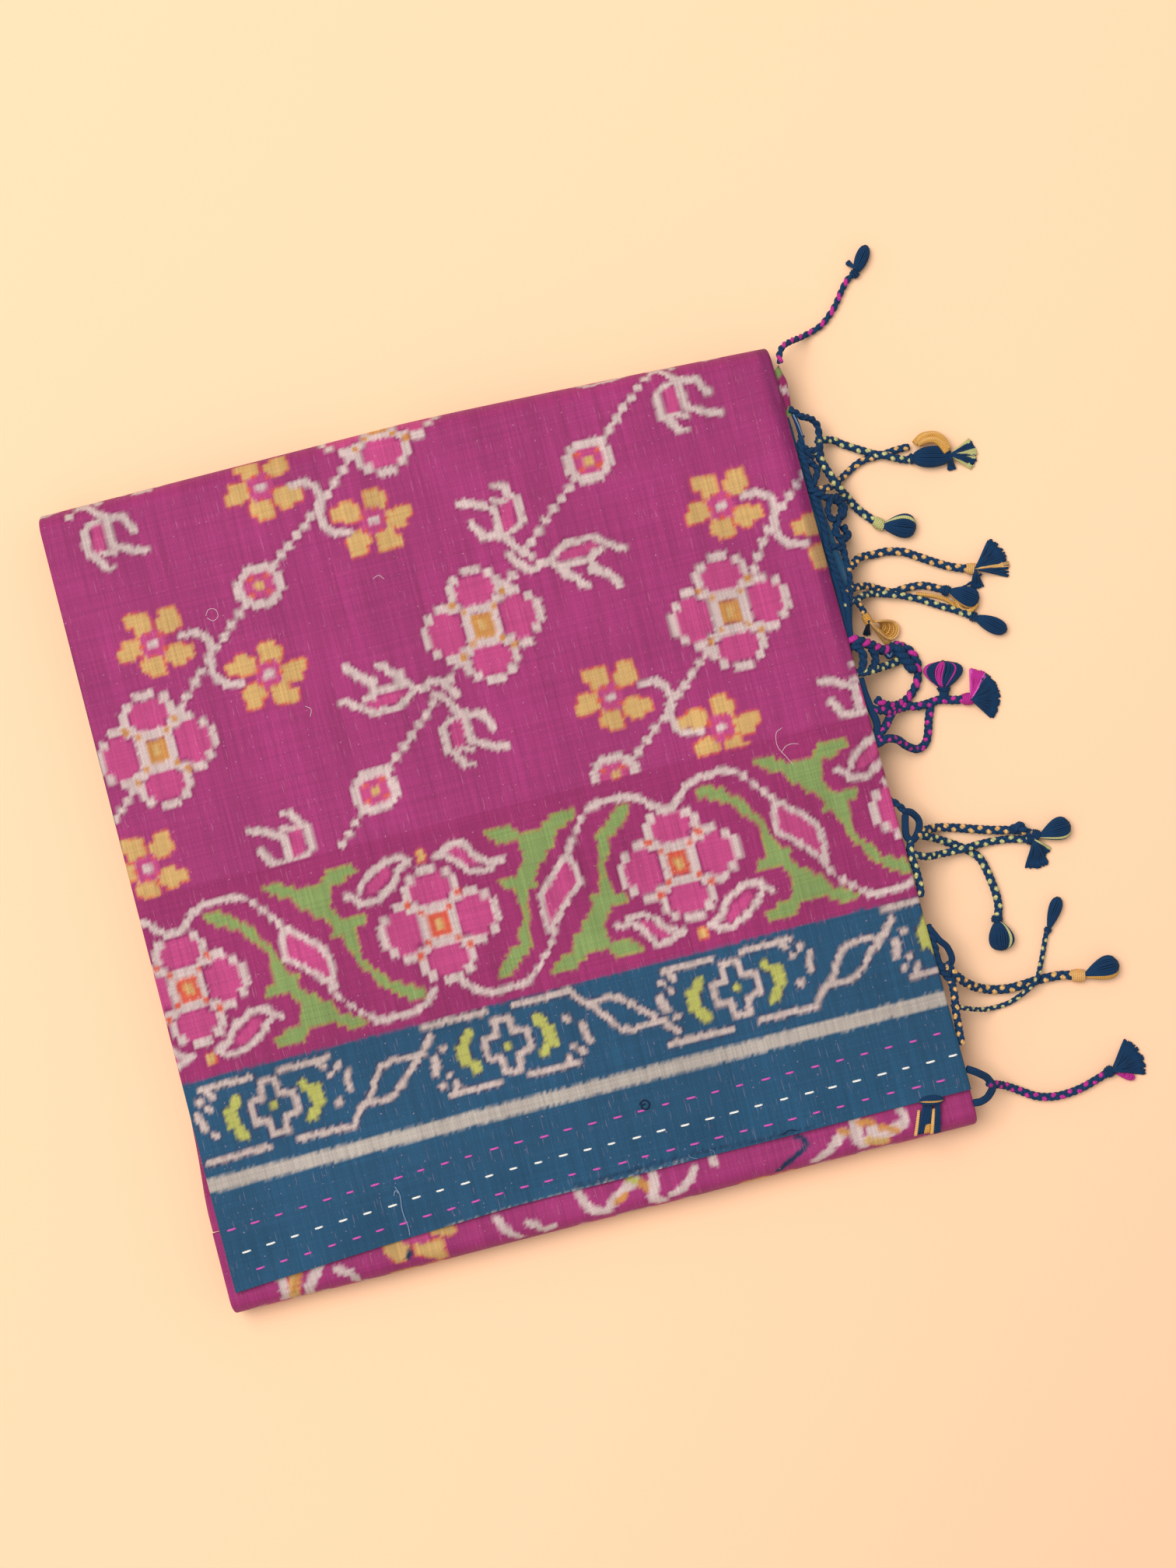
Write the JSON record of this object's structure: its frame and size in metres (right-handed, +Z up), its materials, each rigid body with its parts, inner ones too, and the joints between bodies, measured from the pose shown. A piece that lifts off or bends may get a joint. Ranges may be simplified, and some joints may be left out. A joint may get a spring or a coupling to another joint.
{
  "type": "folded tussar saree",
  "caption": "Tussar silk saree folded into a flat square packet, magenta field with woven flower motifs, blue border, and a braided tasselled fringe at one side.",
  "frame": {"origin": "centre of the packet's flat underside, on the surface it rests on", "axes": "+X along the woven border towards the fringe, +Y from the selvedge towards the rear fold, +Z up"},
  "size_m": [0.357, 0.3296, 0.0206],
  "materials": {
    "magenta_silk": "handwoven tussar silk, soft low sheen",
    "shaded_magenta_silk": "handwoven tussar silk, soft low sheen",
    "blue_border_silk": "handwoven tussar silk, soft low sheen",
    "navy_thread": "braided thread with contrast strands"
  },
  "bodies": {
    "root": {"top_sheet": "magenta_silk", "front_fold": "magenta_silk", "left_fold": "shaded_magenta_silk", "pallu_corner": "magenta_silk", "pallu_band": "blue_border_silk", "folded_plies": "shaded_magenta_silk", "fringe_rear_cord": "navy_thread", "fringe_lime_braids": "navy_thread", "fringe_tan_braids": "navy_thread", "fringe_magenta_braids": "navy_thread", "fringe_crossed_braids": "navy_thread", "fringe_gold_braids": "navy_thread", "fringe_front_braid": "navy_thread", "fringe_fold_tassel": "navy_thread"}
  },
  "joints": []
}
